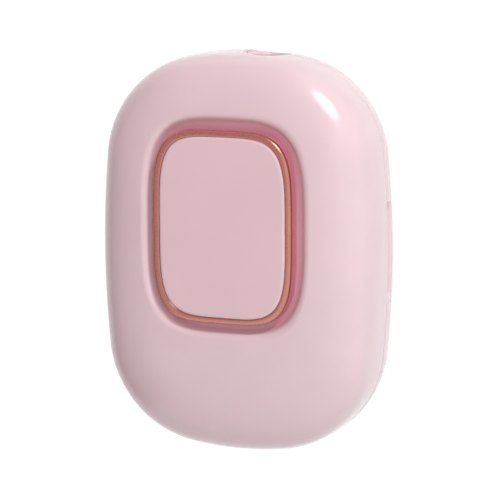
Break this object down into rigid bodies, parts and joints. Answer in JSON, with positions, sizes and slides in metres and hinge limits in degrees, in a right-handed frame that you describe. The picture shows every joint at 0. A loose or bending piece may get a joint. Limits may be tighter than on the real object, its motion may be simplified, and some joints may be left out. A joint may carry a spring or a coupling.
{
  "type": "toothbrush sanitizer case",
  "caption": "Pocket sanitizer case for a toothbrush head: a pebble-shaped clamshell with a rose-gold ring round a large push panel, a neck opening and a chamber with lamps.",
  "frame": {"origin": "middle of the flat back, on the surface that the case lies on", "axes": "+Z comes out of the front panel, +Y points to the end with the neck opening, +X to the side with the finger scoop"},
  "size_m": [0.0726, 0.1, 0.0382],
  "materials": {
    "shell": "satin",
    "panel": "satin",
    "bezel": "polished",
    "liner": "polished",
    "soft": "matte",
    "steel": "satin",
    "magnet": "polished",
    "window": "clear",
    "lamp": "matte",
    "board": "satin",
    "switch": "matte",
    "cell": "satin"
  },
  "bodies": {
    "base": {"rear_shell": "shell", "rear_liner": "liner", "rear_liner_screw_1": "steel", "rear_liner_screw_2": "steel", "rear_liner_screw_3": "steel", "rear_liner_screw_4": "steel", "neck_collar_rear": "soft", "rear_magnet_1": "magnet", "rear_magnet_2": "magnet", "hinge_pin": "steel"},
    "lid": {"front_shell": "shell", "bezel_ring": "bezel", "plunger_seal": "soft", "front_liner": "liner", "front_liner_screw_1": "steel", "front_liner_screw_2": "steel", "front_liner_screw_3": "steel", "front_liner_screw_4": "steel", "neck_collar_front": "soft", "front_magnet_1": "magnet", "front_magnet_2": "magnet", "uv_window": "window", "uv_led_1": "lamp", "uv_led_2": "lamp", "main_board": "board", "board_screw_1": "steel", "board_screw_2": "steel", "switch_body": "switch", "charging_socket": "steel", "battery": "cell"},
    "button": {"button_panel": "panel", "switch_stem": "switch"}
  },
  "joints": [
    {"name": "lid_hinge", "type": "hinge", "parent": "base", "child": "lid", "pos_m": [-0.0347, 0, 0.0185], "axis": [0, -1, 0], "range_deg": [0, 110]},
    {"name": "button_press", "type": "slide", "parent": "lid", "child": "button", "axis": [0, 0, -1], "range_m": [0, 0.0008], "stiffness_N_per_m": 800}
  ]
}
